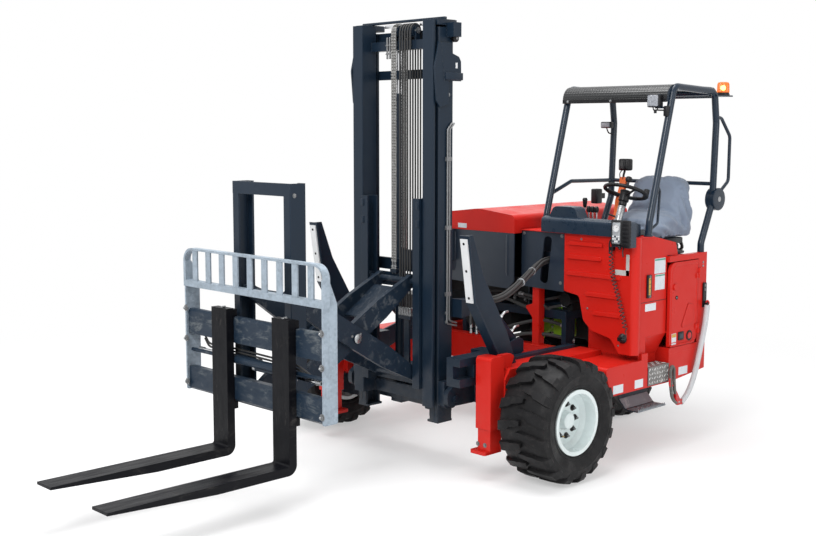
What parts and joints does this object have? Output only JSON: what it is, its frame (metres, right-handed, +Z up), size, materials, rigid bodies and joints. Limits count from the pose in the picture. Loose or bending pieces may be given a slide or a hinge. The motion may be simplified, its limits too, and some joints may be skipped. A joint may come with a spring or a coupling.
{
  "type": "truck-mounted forklift",
  "caption": "Truck-mounted forklift: open cab beside an engine bay, lifting mast with scissor reach, side-shifting forks, stabilisers and a steered rear wheel.",
  "frame": {"origin": "on the ground under the middle of the machine's bounding box, forks included", "axes": "+Z up, -Y towards the forks (forwards), +X towards the driver's side"},
  "size_m": [2.51, 4.89, 2.885],
  "materials": {
    "red_paint": "gloss",
    "dark_paint": "satin",
    "black_steel": "satin",
    "galvanised": "matte",
    "bare_steel": "satin",
    "chrome_rod": "polished",
    "white_paint": "gloss",
    "tyre_rubber": "matte",
    "rubber": "matte",
    "black_plastic": "matte",
    "grey_plastic": "matte",
    "amber_lens": "gloss",
    "white_plastic": "matte",
    "seat_fabric": "matte",
    "engine_iron": "matte"
  },
  "bodies": {
    "chassis": {"chassis_frame": "dark_paint", "chassis_legs": "red_paint", "guard_strips": "white_plastic", "body_left": "red_paint", "slot_plate": "dark_paint", "cab_fittings": "black_plastic", "seat": "seat_fabric", "overhead_guard": "black_steel", "beacon": "amber_lens", "engine_panels": "grey_plastic", "engine": "engine_iron", "fuel_tank": "black_plastic", "sling_bracket": "dark_paint", "sling_sleeve": "seat_fabric", "sling_hook": "red_paint", "coil_cord": "rubber", "coil_lead": "rubber", "coil_fittings": "black_plastic", "hose_bundle": "rubber"},
    "wheel_front_left": {"tyre_front_left": "tyre_rubber", "rim_front_left": "white_paint"},
    "wheel_front_right": {"tyre_front_right": "tyre_rubber", "rim_front_right": "white_paint"},
    "rear_yoke": {"rear_yoke": "red_paint"},
    "wheel_rear": {"tyre_rear_left": "tyre_rubber", "tyre_rear_right": "tyre_rubber", "rim_rear_left": "white_paint", "rim_rear_right": "white_paint"},
    "stabiliser_left": {"stabiliser_left": "red_paint"},
    "stabiliser_right": {"stabiliser_right": "red_paint"},
    "engine_hood": {"engine_hood": "red_paint"},
    "side_door": {"side_door": "red_paint"},
    "steering_wheel": {"steering_wheel": "black_plastic"},
    "mast_carrier": {"mast_carrier": "dark_paint"},
    "mast_outer": {"mast_outer": "dark_paint", "mast_bars": "dark_paint", "lift_barrels": "dark_paint", "mast_pipe": "bare_steel"},
    "mast_inner": {"mast_inner": "dark_paint", "lift_chains": "bare_steel", "mast_returns": "bare_steel", "mast_hoses": "rubber", "lift_rams": "chrome_rod"},
    "lift_frame": {"lift_frame": "dark_paint"},
    "arm_b": {"arm_b": "dark_paint"},
    "arm_a": {"arm_a": "dark_paint"},
    "reach_frame": {"reach_frame": "dark_paint"},
    "fork_carriage": {"fork_carriage": "dark_paint", "load_backrest": "galvanised"},
    "fork_left": {"fork_left": "black_steel"},
    "fork_right": {"fork_right": "black_steel"},
    "tilt_barrels": {"tilt_barrels": "dark_paint"},
    "tilt_rods": {"tilt_rods": "chrome_rod"}
  },
  "joints": [
    {"name": "front_left_spin", "type": "hinge", "parent": "chassis", "child": "wheel_front_left", "pos_m": [1.07, 0.355, 0.3935], "axis": [1, 0, 0], "continuous": true},
    {"name": "front_right_spin", "type": "hinge", "parent": "chassis", "child": "wheel_front_right", "pos_m": [-1.07, 0.355, 0.3935], "axis": [1, 0, 0], "continuous": true},
    {"name": "rear_steer", "type": "hinge", "parent": "chassis", "child": "rear_yoke", "pos_m": [0, 2.045, 0.8], "axis": [0, 0, 1], "range_deg": [-60, 60]},
    {"name": "rear_spin", "type": "hinge", "parent": "rear_yoke", "child": "wheel_rear", "pos_m": [0, 2.045, 0.3935], "axis": [1, 0, 0], "continuous": true},
    {"name": "steering_wheel_turn", "type": "hinge", "parent": "chassis", "child": "steering_wheel", "pos_m": [0.715, 1.535, 1.762], "axis": [0, 0.3746, 0.9272], "range_deg": [-540, 540]},
    {"name": "stabiliser_left_drop", "type": "slide", "parent": "chassis", "child": "stabiliser_left", "axis": [0, 0, -1], "range_m": [0, 0.14]},
    {"name": "stabiliser_right_drop", "type": "slide", "parent": "chassis", "child": "stabiliser_right", "axis": [0, 0, -1], "range_m": [0, 0.14]},
    {"name": "hood_open", "type": "hinge", "parent": "chassis", "child": "engine_hood", "pos_m": [-0.3, 2.367, 1.462], "axis": [-1, 0, 0], "range_deg": [0, 60]},
    {"name": "side_door_open", "type": "hinge", "parent": "chassis", "child": "side_door", "pos_m": [1.1593, 1.808, 1], "axis": [0, 0, 1], "range_deg": [0, 90]},
    {"name": "mast_traverse", "type": "slide", "parent": "chassis", "child": "mast_carrier", "axis": [0, 1, 0], "range_m": [0, 0.3]},
    {"name": "mast_tilt", "type": "hinge", "parent": "mast_carrier", "child": "mast_outer", "pos_m": [0, 0.045, 0.47], "axis": [1, 0, 0], "range_deg": [-3, 5]},
    {"name": "tilt_barrel_swing", "type": "hinge", "parent": "mast_carrier", "child": "tilt_barrels", "pos_m": [0, 0.59, 0.775], "axis": [1, 0, 0], "range_deg": [-6, 6]},
    {"name": "tilt_rod_slide", "type": "slide", "parent": "tilt_barrels", "child": "tilt_rods", "axis": [0, -0.7071, 0.7071], "range_m": [-0.07, 0.07]},
    {"name": "mast_lift", "type": "slide", "parent": "mast_outer", "child": "mast_inner", "axis": [0, 0, 1], "range_m": [0, 1.3]},
    {"name": "carriage_lift", "type": "slide", "parent": "mast_inner", "child": "lift_frame", "axis": [0, 0, 1], "range_m": [0, 1.3], "deforming": ["lift_chains", "mast_hoses"]},
    {"name": "reach", "type": "hinge", "parent": "lift_frame", "child": "arm_b", "pos_m": [0, -0.037, 0.595], "axis": [1, 0, 0], "range_deg": [-41.22, 17.78]},
    {"name": "arm_cross", "type": "hinge", "parent": "arm_b", "child": "arm_a", "pos_m": [0, -0.5575, 0.905], "axis": [1, 0, 0], "range_deg": [-60, 110]},
    {"name": "reach_level", "type": "hinge", "parent": "arm_a", "child": "reach_frame", "pos_m": [0, -1.078, 0.595], "axis": [1, 0, 0], "range_deg": [-60, 60]},
    {"name": "side_shift", "type": "slide", "parent": "reach_frame", "child": "fork_carriage", "axis": [1, 0, 0], "range_m": [-0.1, 0.1]},
    {"name": "fork_left_shift", "type": "slide", "parent": "fork_carriage", "child": "fork_left", "axis": [1, 0, 0], "range_m": [-0.12, 0.22]},
    {"name": "fork_right_shift", "type": "slide", "parent": "fork_carriage", "child": "fork_right", "axis": [1, 0, 0], "range_m": [-0.3, 0.12]}
  ],
  "couplings": [
    {"joint": "steering_wheel_turn", "follows": "rear_steer", "ratio": 9},
    {"joint": "tilt_barrel_swing", "follows": "mast_tilt", "ratio": 0.56364},
    {"joint": "tilt_rod_slide", "follows": "mast_tilt", "m_per_rad": 0.60104},
    {"joint": "carriage_lift", "follows": "mast_lift", "ratio": 1},
    {"joint": "arm_cross", "follows": "reach", "ratio": -2},
    {"joint": "reach_level", "follows": "reach", "ratio": 1}
  ]
}
